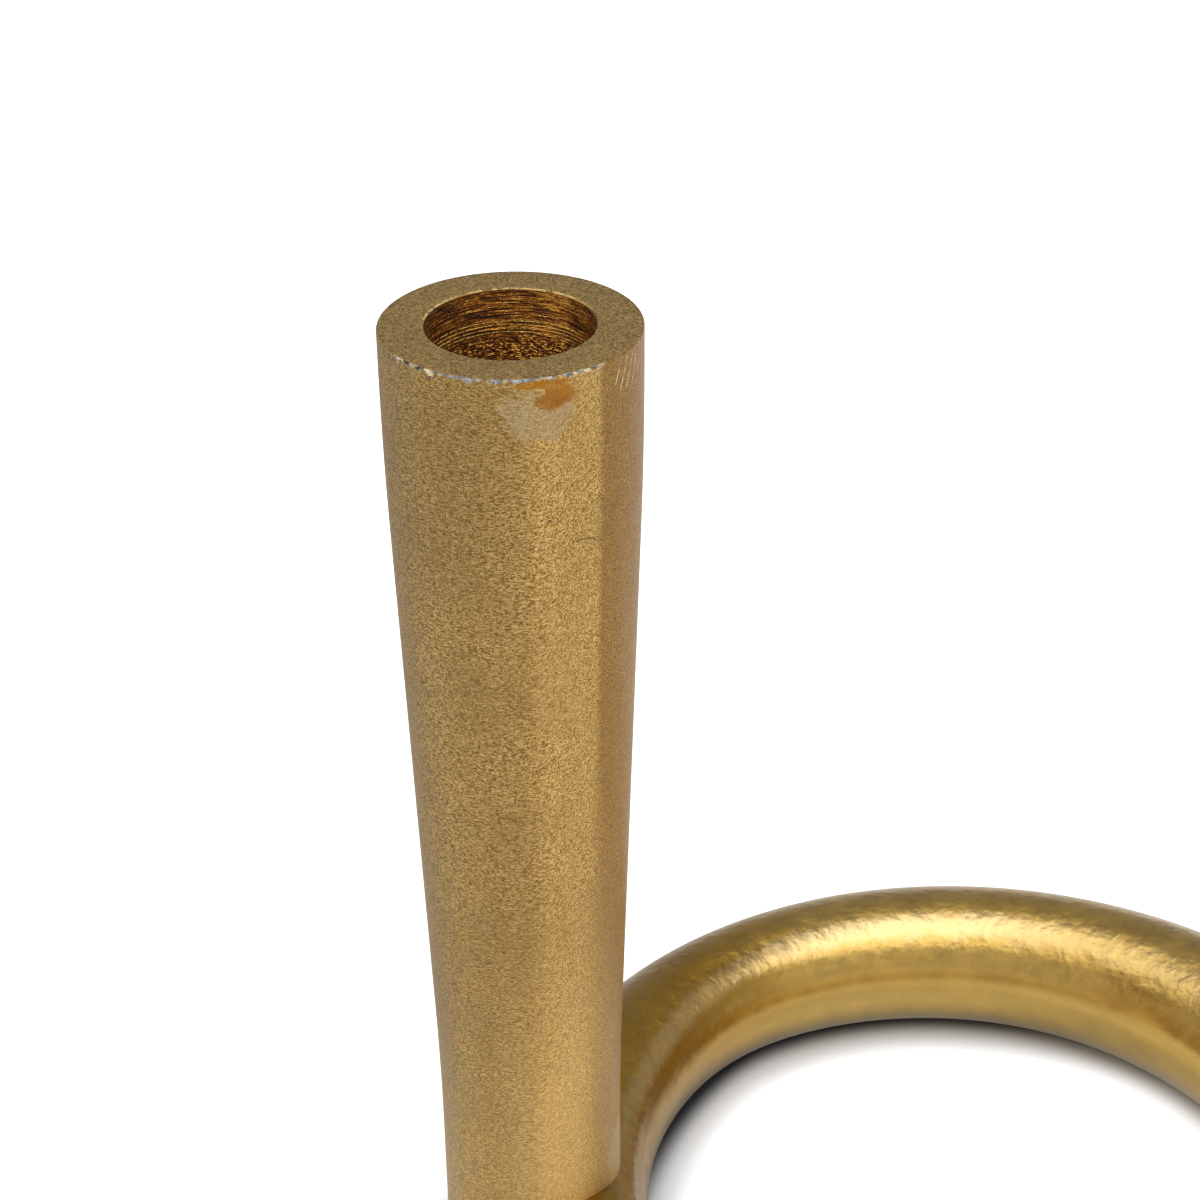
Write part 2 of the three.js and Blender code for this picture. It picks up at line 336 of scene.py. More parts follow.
class CANDLEHOLDER_OT_upright(Operator):
    """Turn the tapered upright, bore its socket, slot its foot over the ring and lacquer it"""

    bl_idname = "candleholder.upright"
    bl_label = "Upright"

    def outline(self, sizes):
        """Radius and height from the foot over the rim to the socket's floor."""
        foot, rim, top = UPRIGHT_LOW.z, sizes.rim_radius, UPRIGHT_HIGH.z
        taper_top = top - sizes.taper_end
        lean = (rim - sizes.foot_radius) / (taper_top - sizes.taper_start)
        blend, edge = sizes.taper_blend, sizes.foot_edge
        low_start = (sizes.foot_radius, sizes.taper_start - blend)
        low_end = (sizes.foot_radius + lean * blend, sizes.taper_start + blend)
        high_start = (rim - lean * blend, taper_top - blend)
        high_end = (rim, min(taper_top + blend, top - sizes.rim_edge))
        rim_end = (rim - sizes.rim_edge, top)
        mouth_start = (sizes.mouth_radius + sizes.mouth_edge, top)
        mouth_end = (sizes.mouth_radius, top - sizes.mouth_edge)
        step_drop = 4 * (sizes.mouth_radius - sizes.socket_radius)
        floor = top - sizes.socket_depth
        foot_start = (sizes.foot_radius - edge, foot)
        return [
            foot_start,
            *bend(foot_start, (sizes.foot_radius, foot), (sizes.foot_radius, foot + edge), EDGE_STEPS),
            low_start,
            *bend(low_start, (sizes.foot_radius, sizes.taper_start), low_end, TAPER_STEPS),
            high_start,
            *bend(high_start, (rim, taper_top), high_end, TAPER_STEPS),
            (rim, top - sizes.rim_edge),
            *bend((rim, top - sizes.rim_edge), (rim, top), rim_end, RIM_STEPS),
            mouth_start,
            *bend(mouth_start, (sizes.mouth_radius, top), mouth_end, EDGE_STEPS),
            (sizes.mouth_radius, top - sizes.mouth_depth),
            (sizes.socket_radius, top - sizes.mouth_depth - step_drop),
            (sizes.socket_radius, floor + sizes.mouth_edge),
            (sizes.socket_radius - sizes.mouth_edge, floor),
        ]

    def slot(self, piece, sizes, ring):
        """Slots the foot so that it drops over the bar: round above, straight down to the table."""
        centre = ring_centre(ring)
        below = 5 * MM
        cut_away(piece, round_bar(ring, sizes.slot_gap, SLOT_POINTS, SLOT_AROUND))
        deselect_all()
        bpy.ops.mesh.primitive_cylinder_add(
            vertices=SLOT_STEPS, radius=ring.radius + ring.thin + sizes.slot_gap, depth=ring.thin + below,
            location=(centre.x, centre.y, (ring.thin - below) / 2),
        )
        cut_away(piece, bpy.context.object)

    def tap(self, piece, ring):
        """Bores the hole that takes the screw from beneath."""
        deselect_all()
        axis = upright_axis()
        bpy.ops.mesh.primitive_cylinder_add(
            vertices=HOLE_STEPS, radius=ring.hole_radius, depth=ring.tapped_top,
            location=(axis.x + ring.inset, axis.y, ring.tapped_top / 2),
        )
        cut_away(piece, bpy.context.object)

    def execute(self, context):
        sizes, ring = context.scene.candle_upright, context.scene.candle_ring
        draw_up(self.outline(sizes), upright_axis(), sizes.steps)
        piece = settle("upright_cast")
        self.slot(piece, sizes, ring)
        self.tap(piece, ring)
        deselect_all()
        piece.select_set(True)
        context.view_layer.objects.active = piece
        piece = settle("upright_cast")
        piece.data.materials.append(upright_gold(context.scene.candle_finishes, sizes))
        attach(piece, BODY)
        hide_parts("upright")
        return {"FINISHED"}


class CANDLEHOLDER_OT_ring(Operator):
    """Bend the round bar into the ring, grind it flat beneath, bore its fixing hole and lacquer it"""

    bl_idname = "candleholder.ring"
    bl_label = "Ring"

    def execute(self, context):
        ring = context.scene.candle_ring
        round_bar(ring, 0.0, BAR_POINTS, BAR_AROUND)
        edit_all()
        bpy.ops.mesh.bisect(
            plane_co=(0, 0, PAD_HIGH.z), plane_no=(0, 0, 1),
            use_fill=True, clear_inner=True, clear_outer=False,
        )
        piece = settle("ring_cast")
        axis = upright_axis()
        hole = [
            (ring.recess_radius, -MM),
            (ring.recess_radius, ring.recess_top),
            (ring.hole_radius, ring.recess_top),
            (ring.hole_radius, 2 * ring.thin + MM),
        ]
        draw_up(hole, Vector((axis.x + ring.inset, axis.y)), HOLE_STEPS)
        cut_away(piece, settle("ring_hole"))
        deselect_all()
        piece.select_set(True)
        context.view_layer.objects.active = piece
        piece = settle("ring_cast")
        piece.data.materials.append(ring_gold(context.scene.candle_finishes, ring))
        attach(piece, BODY)
        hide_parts("ring_base")
        return {"FINISHED"}


class CANDLEHOLDER_OT_fixings(Operator):
    """Give the screw and its washers their zinc-plated finish"""

    bl_idname = "candleholder.fixings"
    bl_label = "Screw and washers"

    def execute(self, context):
        zinc = zinc_steel(context.scene.candle_finishes)
        for name in FIXINGS:
            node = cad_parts[name]
            node.data.materials.clear()
            node.data.materials.append(zinc)
        return {"FINISHED"}


class CANDLEHOLDER_OT_pads(Operator):
    """Press the felt pads that carry the holder"""

    bl_idname = "candleholder.pads"
    bl_label = "Felt pads"

    def execute(self, context):
        felt = pressed_felt(context.scene.candle_finishes)
        for name in PADS:
            low, high = (Vector(corner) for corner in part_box(name))
            deselect_all()
            bpy.ops.mesh.primitive_cylinder_add(
                vertices=PAD_STEPS, radius=(high.x - low.x) / 2, depth=high.z - low.z,
                location=(low + high) / 2,
            )
            edit_all()
            bpy.ops.mesh.bevel(offset=PAD_EDGE, segments=PAD_EDGE_STEPS, affect="EDGES")
            piece = settle(name.replace("foot_pad", "felt_pad"))
            piece.data.materials.append(felt)
            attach(piece, BODY)
            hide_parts(name)
        return {"FINISHED"}


class Nodes:
    """Adds and joins the nodes of one material."""

    def __init__(self, name):
        self.material = bpy.data.materials.new(name)
        self.material.use_nodes = True
        self.tree = self.material.node_tree
        self.tree.nodes.clear()

    def add(self, kind, inputs=(), **settings):
        """A node with its settings made and its inputs set or joined by name or number."""
        node = self.tree.nodes.new(kind)
        for key, value in settings.items():
            setattr(node, key, value)
        for key, value in dict(inputs).items():
            if isinstance(value, bpy.types.NodeSocket):
                self.tree.links.new(value, node.inputs[key])
            else:
                node.inputs[key].default_value = value
        return node

    def math(self, operation, a, b=0.0):
        """Result of a sum on one or two values."""
        return self.add("ShaderNodeMath", {0: a, 1: b}, operation=operation).outputs[0]

    def times(self, *values):
        """Product of several values."""
        product = values[0]
        for value in values[1:]:
            product = self.math("MULTIPLY", product, value)
        return product

    def opposite(self, value):
        """1 where a value is 0, and 0 where it is 1."""
        return self.math("SUBTRACT", 1.0, value)

    def apart(self, a, b):
        """How far apart two values are."""
        return self.math("ABSOLUTE", self.math("SUBTRACT", a, b))

    def diagonal(self, a, b):
        """How far a step of a and a step of b at right angles lead."""
        return self.math("SQRT", self.math("ADD", self.times(a, a), self.times(b, b)))

    def smooth(self, value, low, high):
        """0 below low, 1 above high, and a soft rise between; falls where low is above high."""
        inputs = {"Value": value, "From Min": low, "From Max": high}
        return self.add("ShaderNodeMapRange", inputs, interpolation_type="SMOOTHSTEP").outputs[0]

    def noise(self, place, size, detail=2.0, roughness=0.5, distortion=0.0):
        """Cloudy pattern whose blotches are about that size."""
        inputs = {
            "Vector": place, "Scale": 1 / size,
            "Detail": detail, "Roughness": roughness, "Distortion": distortion,
        }
        return self.add("ShaderNodeTexNoise", inputs).outputs["Fac"]

    def cells(self, place, size):
        """Distance to the nearest of scattered points that lie about that far apart."""
        return self.add("ShaderNodeTexVoronoi", {"Vector": place, "Scale": 1 / size}).outputs["Distance"]

    def stretch(self, place, x, y, z):
        """Places scaled along each axis: a pattern on them is drawn out where the scale is small."""
        return self.add("ShaderNodeVectorMath", {0: place, 1: (x, y, z)}, operation="MULTIPLY").outputs[0]

    def dim(self, tone, factor):
        """A colour made that many times as bright."""
        return self.add("ShaderNodeVectorMath", {0: tone, 3: factor}, operation="SCALE").outputs[0]

    def join(self, x, y, z):
        """A place made from three values."""
        return self.add("ShaderNodeCombineXYZ", {0: x, 1: y, 2: z}).outputs[0]

    def mix(self, factor, a, b):
        """Colour between a and b."""
        inputs = {0: factor}
        for key, end in ((6, a), (7, b)):
            inputs[key] = end if isinstance(end, bpy.types.NodeSocket) else (*end, 1)
        return self.add("ShaderNodeMix", inputs, data_type="RGBA").outputs[2]

    def tint(self, factor, tone, glaze):
        """A colour seen through a coloured glaze."""
        inputs = {0: factor, 6: tone, 7: (*glaze, 1)}
        return self.add("ShaderNodeMix", inputs, data_type="RGBA", blend_type="MULTIPLY").outputs[2]

    def blend(self, factor, a, b):
        """Value between a and b."""
        return self.add("ShaderNodeMix", {0: factor, 2: a, 3: b}).outputs[0]

    def bump(self, height, depth, normal=None):
        """Surface raised by a height pattern of that depth."""
        inputs = {"Height": height, "Distance": depth, "Strength": 1.0}
        if normal:
            inputs["Normal"] = normal
        return self.add("ShaderNodeBump", inputs).outputs[0]

    def finish(self, **inputs):
        """Principled surface on the material's output."""
        names = {key.replace("_", " ").title(): value for key, value in inputs.items()}
        surface = self.add("ShaderNodeBsdfPrincipled", names)
        self.add("ShaderNodeOutputMaterial", {"Surface": surface.outputs[0]})
        return self.material


def round_places(nodes, centre):
    """Object coordinates, and the turn from the front, the reach from a centre line and the height."""
    place = nodes.add("ShaderNodeTexCoord").outputs["Object"]
    x, y, z = nodes.add("ShaderNodeSeparateXYZ", {0: place}).outputs
    across = nodes.math("SUBTRACT", x, centre.x)
    along = nodes.math("SUBTRACT", centre.y, y)
    turn = nodes.math("ARCTAN2", across, along)
    return place, turn, nodes.diagonal(across, along), z


def patch(nodes, turn, height, centre, half, ragged):
    """1 inside a ragged oval on the upright's side; its centre and half sizes are in degrees and metres."""
    across = nodes.math("DIVIDE", nodes.math("SUBTRACT", turn, radians(centre[0])), radians(half[0]))
    up = nodes.math("DIVIDE", nodes.math("SUBTRACT", height, centre[1]), half[1])
    away = nodes.math("ADD", nodes.diagonal(across, up), ragged)
    return nodes.smooth(away, 1.15, 0.85)


def between(nodes, value, low, high, soft):
    """1 between two limits, falling to 0 over a soft margin outside them."""
    return nodes.times(nodes.smooth(value, low - soft, low), nodes.smooth(value, high + soft, high))


def hairline(nodes, girth, height, radius):
    """1 along a short curved crack in the lacquer."""
    across = nodes.math("SUBTRACT", girth, radians(33) * radius)
    up = nodes.math("SUBTRACT", height, 141.6 * MM)
    wander = nodes.times(nodes.noise(nodes.join(girth, height, 0.0), 2.5 * MM), 0.8 * MM)
    off = nodes.apart(nodes.math("SUBTRACT", nodes.diagonal(across, up), 2.2 * MM), wander)
    return nodes.times(
        nodes.smooth(off, 0.13 * MM, 0.06 * MM),
        nodes.smooth(up, 0.9 * MM, 1.8 * MM),
        nodes.smooth(across, -1.6 * MM, -0.6 * MM),
    )


def socket_tone(nodes, finishes, sizes, place, height):
    """Turned grooves in the socket's mouth, a ridged step below it and a speckled bore, with painted shade
    and painted glints.
    """
    top = UPRIGHT_HIGH.z
    step, floor = top - sizes.mouth_depth, top - sizes.socket_depth
    ridge_pitch = 0.48 * MM
    grooves = nodes.noise(nodes.stretch(place, 0.03, 0.03, 1), 0.13 * MM, 3.0, 0.65)
    speckle = nodes.noise(nodes.stretch(place, 0.40, 0.40, 1), 0.24 * MM, 3.0, 0.65)
    bored = nodes.smooth(height, step - 1.0 * MM, step - 3.5 * MM)
    turned = nodes.blend(nodes.blend(bored, 0.25, 0.72), grooves, speckle)
    ridges = nodes.times(
        nodes.smooth(nodes.math("SINE", nodes.times(height, 2 * pi / ridge_pitch)), 0.4, 0.95),
        between(nodes, height, step - 1.7 * MM, step - 0.1 * MM, 0.3 * MM),
        nodes.smooth(speckle, 0.34, 0.5),
    )
    # Painted glints: bright specks on the bore and the step's ridges are coloured as bright metal.
    bright = nodes.smooth(turned, nodes.blend(bored, 0.555, 0.535), nodes.blend(bored, 0.63, 0.60))
    bright = nodes.times(bright, nodes.blend(bored, 0.8, 1.0))
    # Painted shade: the turned grooves are real, but the bore's amber is darker and redder than the lacquer
    # outside.
    tone = nodes.mix(nodes.smooth(turned, 0.46, 0.56), finishes.amber_dark, finishes.amber)
    tone = nodes.mix(nodes.math("MAXIMUM", bright, nodes.times(ridges, 0.9)), tone, finishes.painted_glint)
    # Painted shade: the socket's floor is darkened to 0.4.
    shaded_socket_floor = nodes.smooth(height, floor + 1.0 * MM, floor + 0.2 * MM)
    return nodes.dim(tone, nodes.blend(shaded_socket_floor, 1.0, 0.4)), turned


def rim_wear(nodes, finishes, place, turn, reach, height, radius):
    """Tone and mask of the bare metal along the front of the rim's edge, chipped at the left."""
    top = UPRIGHT_HIGH.z
    front = between(nodes, turn, radians(-54), radians(40), radians(6))
    left = nodes.smooth(turn, radians(-24), radians(-34))
    right = nodes.smooth(turn, radians(12), radians(20))
    chips = nodes.noise(place, 1.3 * MM, 4.0, 0.7)
    depth = nodes.times(nodes.smooth(chips, 0.36, 0.68), nodes.blend(left, 0.75 * MM, 1.1 * MM))
    edge = nodes.times(
        nodes.smooth(nodes.math("ADD", height, depth), top - 0.06 * MM, top + 0.10 * MM),
        nodes.smooth(reach, radius - 0.34 * MM, radius - 0.24 * MM),
        front,
    )
    flecks = nodes.noise(place, 0.8 * MM, 3.0, 0.7)
    tone = nodes.mix(nodes.smooth(flecks, 0.40, 0.58), finishes.bare_dark, finishes.bare)
    gilt = nodes.times(nodes.math("MAXIMUM", left, right), nodes.smooth(flecks, 0.52, 0.58))
    tone = nodes.mix(gilt, tone, finishes.flake)
    dark = nodes.smooth(flecks, nodes.blend(left, 0.36, 0.47), nodes.blend(left, 0.30, 0.42))
    return edge, nodes.mix(dark, tone, finishes.soot)


def upright_gold(finishes, sizes):
    """Gold lacquer over sand-cast grain, with a turned socket, a faced rim, wear below it, and painted light
    and shade.
    """
    nodes = Nodes("upright_gold")
    place, turn, reach, height = round_places(nodes, upright_axis())
    top, radius, mouth = UPRIGHT_HIGH.z, sizes.rim_radius, sizes.mouth_radius
    girth = nodes.times(turn, radius)

    in_socket = nodes.times(
        nodes.smooth(reach, mouth + 0.14 * MM, mouth + 0.06 * MM),
        nodes.smooth(height, top - sizes.socket_depth - 2 * MM, top - sizes.socket_depth - MM),
    )
    on_face = nodes.times(
        nodes.smooth(height, top - 0.12 * MM, top - 0.04 * MM),
        nodes.opposite(in_socket),
    )
    on_lip = nodes.times(
        between(nodes, reach, mouth + 0.12 * MM, mouth + 0.38 * MM, 0.06 * MM),
        nodes.smooth(height, top - 0.6 * MM, top - 0.5 * MM),
    )
    wander = nodes.math("SUBTRACT", nodes.noise(nodes.join(0.0, 0.0, height), 7 * MM, 3.0), 0.5)
    seam = nodes.math("ADD", turn, nodes.times(wander, 0.06))
    high = nodes.smooth(height, 30 * MM, 130 * MM)
    strip_start = nodes.blend(high, radians(28), radians(39.5))
    strip_full = nodes.blend(high, radians(62), radians(45))
    # The filed strip at the right: its grain is smoother, and its colour is darkened below with painted
    # shade.
    filed_and_shaded_right = nodes.times(
        nodes.smooth(seam, strip_start, strip_full), nodes.smooth(seam, radians(150), radians(100))
    )
    filed_left = between(nodes, seam, radians(-124), radians(-58), radians(5))
    filed = nodes.math("MAXIMUM", filed_and_shaded_right, nodes.times(filed_left, 0.6))

    slant = nodes.times(nodes.smooth(turn, radians(8), radians(35)), 0.7)
    x, y, _ = nodes.add("ShaderNodeSeparateXYZ", {0: place}).outputs
    sloped = nodes.join(x, y, nodes.math("SUBTRACT", height, nodes.times(girth, slant)))
    strokes = nodes.noise(nodes.stretch(sloped, 1, 1, 3.0), 0.60 * MM, 3.0, 0.65, 0.3)
    grain = nodes.noise(place, 0.20 * MM, 2.0, 0.6)
    sandy = nodes.blend(nodes.smooth(turn, radians(5), radians(30)), 0.4, 0.7)
    skin = nodes.blend(sandy, strokes, grain)
    clouds = nodes.noise(place, 2.4 * MM, 4.0, 0.6)
    drifts = nodes.noise(place, 14 * MM, 2.0)
    deep = nodes.blend(nodes.smooth(drifts, 0.35, 0.62), 0.75, 1.0)
    upper = nodes.blend(nodes.smooth(height, 20 * MM, 140 * MM), 0.75, 1.0)
    deep = nodes.times(deep, nodes.blend(filed, 1.0, 0.75), upper)

    # Painted light and shade: the lacquer is brighter at the left and front-right, darker at the front and
    # near the top,
    level = nodes.blend(nodes.smooth(turn, radians(-44), radians(-14)), 1.14, 0.96)
    # and brighter low on the left; a faint random drift rides on it.
    level = nodes.blend(nodes.smooth(turn, radians(0), radians(19)), level, 1.33)
    level = nodes.times(level, nodes.blend(nodes.smooth(drifts, 0.3, 0.7), 0.93, 1.05))
    level = nodes.times(level, nodes.blend(nodes.smooth(height, 122 * MM, 148 * MM), 1.0, 0.91))
    painted_light_low_left = nodes.times(
        nodes.smooth(turn, radians(-5), radians(-25)), nodes.smooth(height, 65 * MM, 25 * MM)
    )
    level = nodes.times(level, nodes.blend(painted_light_low_left, 1.0, 1.13))
    # Painted light at the front of the foot: the lacquer there is up to 1.45 times as bright, paler and less
    # metallic.
    rubbed_and_painted_light = nodes.times(
        nodes.smooth(nodes.apart(turn, radians(20)), radians(48), radians(6)),
        nodes.smooth(height, 85 * MM, 20 * MM),
        nodes.opposite(filed_and_shaded_right),
    )

    hollow = nodes.times(nodes.smooth(skin, 0.51, 0.42), deep)
    raised = nodes.times(nodes.smooth(skin, 0.49, 0.59), deep)
    # Painted reflection: a greyer sheen is mixed into the lacquer towards the left side.
    grey_sheen_left = nodes.smooth(turn, radians(-28), radians(-62))
    tone = nodes.mix(nodes.times(grey_sheen_left, 0.6), finishes.gold, finishes.grey_sheen_left)
    tone = nodes.mix(hollow, tone, finishes.gold_dark)
    tone = nodes.mix(raised, tone, finishes.gold_light)
    # Painted light and shade: the colour is scaled by the side brightness above and by the foot's painted
    # light.
    tone = nodes.dim(tone, nodes.times(level, nodes.blend(rubbed_and_painted_light, 1.0, 1.45)))
    tone = nodes.mix(nodes.times(rubbed_and_painted_light, 0.4), tone, finishes.rubbed_and_painted_light)
    # Painted shade: the filed strip at the right is glazed darker and browner, most strongly high up.
    tone = nodes.tint(nodes.times(filed_and_shaded_right, nodes.blend(high, 0.45, 1.0)), tone, finishes.strip)
    flakes = nodes.smooth(nodes.noise(place, 0.36 * MM, 1.0), 0.70, 0.78)
    tone = nodes.mix(nodes.times(flakes, nodes.blend(filed, 0.7, 0.25)), tone, finishes.flake)

    ragged = nodes.times(nodes.math("SUBTRACT", clouds, 0.5), 2.2)
    pale = patch(nodes, turn, height, (13.0, top - 5.2 * MM), (16.5, 3.6 * MM), nodes.times(ragged, 0.6))
    dusty = nodes.blend(nodes.smooth(skin, 0.52, 0.44), 0.8, 0.3)
    tone = nodes.mix(nodes.times(pale, dusty), tone, finishes.dust)
    rust = nodes.math(
        "MAXIMUM",
        patch(nodes, turn, height, (20.0, top - 2.7 * MM), (8.5, 1.7 * MM), ragged),
        patch(nodes, turn, height, (14.0, top - 0.85 * MM), (12.0, 0.65 * MM), nodes.times(ragged, 0.6)),
    )
    soaked = nodes.times(
        nodes.blend(nodes.smooth(clouds, 0.36, 0.56), 0.75, 1.0),
        nodes.blend(nodes.smooth(skin, 0.46, 0.58), 1.0, 0.82),
    )
    tone = nodes.mix(nodes.times(rust, soaked), tone, finishes.stain)
    scuff = patch(nodes, turn, height, (76.0, 28 * MM), (15.0, 5 * MM), nodes.times(ragged, 0.6))
    tone = nodes.mix(nodes.times(scuff, 0.5), tone, finishes.dust)
    mark_pitch, mark_slope = 1.5 * MM, 0.43
    across_marks = nodes.math("SUBTRACT", girth, nodes.times(height, mark_slope))
    sawn = nodes.math("SINE", nodes.times(across_marks, 2 * pi / mark_pitch))
    slash = nodes.times(
        nodes.smooth(sawn, 0.80, 0.97),
        nodes.smooth(clouds, 0.38, 0.56),
        patch(nodes, turn, height, (60.0, top - 2.9 * MM), (11.0, 2.3 * MM), nodes.times(ragged, 0.5)),
    )
    tone = nodes.mix(nodes.times(slash, 0.7), tone, finishes.flake)
    outside = nodes.smooth(reach, mouth + 0.5 * MM, sizes.foot_radius - 0.5 * MM)
    pits = nodes.smooth(nodes.cells(place, 5 * MM), 0.05, 0.03)
    crack = hairline(nodes, girth, height, radius)
    sooty = nodes.math("MAXIMUM", pits, nodes.times(crack, 0.7))
    tone = nodes.mix(nodes.times(sooty, outside, 0.85), tone, finishes.soot)

    faced = nodes.noise(place, 0.32 * MM, 3.0, 0.65)
    face = nodes.mix(nodes.smooth(faced, 0.36, 0.60), finishes.olive_dark, finishes.olive)
    face = nodes.mix(nodes.times(nodes.smooth(faced, 0.58, 0.68), 0.4), face, finishes.gold_light)
    tone = nodes.mix(on_face, tone, face)
    bore, turned = socket_tone(nodes, finishes, sizes, place, height)
    tone = nodes.mix(in_socket, tone, bore)
    # Painted highlight: the back of the socket's lip is lightened to light gold, broken by chatter ticks.
    ticks = nodes.noise(nodes.stretch(place, 1, 1, 0.1), 0.9 * MM, 2.0)
    back = nodes.math(
        "MAXIMUM",
        nodes.smooth(turn, radians(-65), radians(-95)),
        nodes.smooth(turn, radians(100), radians(150)),
    )
    tone = nodes.mix(nodes.times(on_lip, nodes.smooth(ticks, 0.38, 0.52), back), tone, finishes.gold_light)
    edge, metal = rim_wear(nodes, finishes, place, turn, reach, height, radius)
    tone = nodes.mix(edge, tone, metal)

    relief = nodes.blend(on_face, nodes.times(skin, deep), nodes.times(faced, 0.45))
    relief = nodes.blend(in_socket, relief, nodes.times(turned, 0.9))
    normal = nodes.bump(nodes.noise(place, 8 * MM, 2.0), 0.3 * MM)
    normal = nodes.bump(relief, 0.5 * MM, normal)
    roughness = nodes.blend(nodes.smooth(clouds, 0.3, 0.7), 0.36, 0.44)
    roughness = nodes.blend(pale, roughness, 0.66)
    roughness = nodes.blend(in_socket, roughness, 0.24)
    # Less metallic at the front of the foot, where its light is painted.
    metallic = nodes.blend(rubbed_and_painted_light, 0.85, 0.25)
    return nodes.finish(
        base_color=tone, metallic=metallic, roughness=roughness, normal=normal, coat_normal=normal,
        coat_weight=0.12, coat_roughness=0.34,
    )


def ring_gold(finishes, ring):
    """Gold lacquer over the ring's dented bar, smooth along its inner side and browner by the upright, with
    painted highlight, light and shade in bands.
    """
    nodes = Nodes("ring_gold")
    centre = ring_centre(ring)
    place, turn, reach, height = round_places(nodes, centre)
    lean = nodes.math(
        "ARCTAN2", nodes.math("SUBTRACT", height, ring.thin), nodes.math("SUBTRACT", reach, ring.radius)
    )
    along = nodes.times(turn, ring.radius)
    around = nodes.times(lean, ring.thin)
    x = nodes.add("ShaderNodeSeparateXYZ", {0: place}).outputs[0]
    west = nodes.math("DIVIDE", nodes.math("SUBTRACT", centre.x, x), ring.radius)
    highest, line_lean = 0.574, radians(139)  # where the smooth side reaches up furthest
    early = nodes.math("MINIMUM", nodes.math("MAXIMUM", nodes.math("SUBTRACT", highest, west), 0.0), 0.5)
    late = nodes.math("MAXIMUM", nodes.math("SUBTRACT", west, highest), 0.0)
    line = nodes.math("ADD", nodes.times(early, radians(26)), nodes.times(late, radians(74)))
    below = nodes.math("SUBTRACT", nodes.math("SUBTRACT", lean, line), line_lean)
    smooth_side = nodes.math(
        "MAXIMUM",
        nodes.smooth(below, radians(-9), radians(6)),
        nodes.smooth(lean, radians(-60), radians(-100)),
    )
    evened = nodes.math("MAXIMUM", smooth_side, nodes.smooth(below, radians(-18), radians(-4)))
    dented = nodes.blend(evened, 1.0, 0.18)
    strokes = nodes.noise(nodes.join(along, nodes.times(around, 0.45), 0.0), 1.2 * MM, 3.0, 0.5, 0.5)
    grain = nodes.noise(place, 0.45 * MM, 3.0, 0.6)
    dents = nodes.noise(place, 3.6 * MM, 2.0, 0.5, 0.4)
    clouds = nodes.noise(place, 5 * MM, 3.0)
    mottle = nodes.noise(place, 2.8 * MM, 3.0, 0.6, 0.5)
    beside = nodes.smooth(x, centre.x - 0.28 * ring.radius, centre.x - 0.75 * ring.radius)

    brown = nodes.mix(nodes.times(smooth_side, 0.9), finishes.bar_brown, finishes.bar_tan)
    tone = nodes.mix(nodes.times(beside, 0.8), finishes.bar, brown)
    tone = nodes.dim(tone, nodes.blend(nodes.smooth(clouds, 0.3, 0.7), 0.92, 1.08))
    mottled = nodes.times(nodes.smooth(mottle, 0.55, 0.35), nodes.opposite(smooth_side))
    tone = nodes.dim(tone, nodes.blend(mottled, 1.0, 0.85))
    speckled = nodes.times(nodes.smooth(grain, 0.50, 0.36), nodes.blend(smooth_side, 0.16, 0.08))
    tone = nodes.mix(speckled, tone, finishes.gold_dark)
    # How far round the bar the painted crest highlight and its darker flanks lie, further in beside the
    # upright.
    ridge = nodes.blend(nodes.smooth(west, 0.50, 0.95), radians(116), radians(135))
    ragged = nodes.times(nodes.math("SUBTRACT", mottle, 0.5), 0.3)
    off = nodes.math("ADD", nodes.apart(lean, ridge), ragged)
    # Painted shade: mottled brown bands either side of the painted crest highlight, beside the upright.
    painted_dark_flank = between(nodes, off, radians(13), radians(40), radians(7))
    painted_dark_flank = nodes.times(painted_dark_flank, nodes.smooth(mottle, 0.40, 0.56), beside, 0.85)
    tone = nodes.mix(painted_dark_flank, tone, finishes.bar_brown)
    # Painted reflection: a thin brown line along the edge of the smooth side, beside the upright.
    painted_reflection_line = between(nodes, below, radians(-6), radians(-3), radians(6))
    tone = nodes.mix(nodes.times(painted_reflection_line, beside, 0.4), tone, finishes.bar_brown)
    # Painted light: the lower inner side is made 1.22 times as bright, except beside the upright.
    painted_light_band = between(nodes, lean, radians(156), radians(165), radians(8))
    tone = nodes.dim(tone, nodes.blend(nodes.times(painted_light_band, nodes.smooth(west, 0.75, 0.55)), 1.0, 1.22))
    # Painted light: the lower inner side on the east stretch is made 1.3 times as bright.
    clear = nodes.times(
        between(nodes, lean, radians(143), radians(156), radians(8)), nodes.smooth(west, -0.3, -0.6)
    )
    tone = nodes.dim(tone, nodes.blend(clear, 1.0, 1.3))
    # Painted shade: the bar's upper shoulder between the middle and the upright is darkened to 0.62.
    painted_shade_shoulder = nodes.times(
        between(nodes, lean, radians(104), radians(112), radians(6)),
        between(nodes, west, 0.3, 0.55, 0.18),
    )
    tone = nodes.dim(tone, nodes.blend(painted_shade_shoulder, 1.0, 0.62))
    # Painted highlight: a paler colour along the bar's crest, strongest at the far middle and beside the
    # upright, in streaks.
    from_middle = nodes.apart(x, centre.x - 0.08 * ring.radius)
    middle = nodes.smooth(from_middle, 0.6 * ring.radius, 0.15 * ring.radius)
    highlight_strength = nodes.blend(nodes.math("MAXIMUM", middle, nodes.times(beside, 0.2)), 0.2, 0.6)
    highlight_streaks = nodes.blend(nodes.smooth(strokes, 0.3, 0.65), 0.85, 1.0)
    crest_highlight = nodes.times(nodes.smooth(off, radians(17), radians(4)), highlight_streaks)
    tone = nodes.mix(nodes.times(crest_highlight, highlight_strength), tone, finishes.crest_highlight)

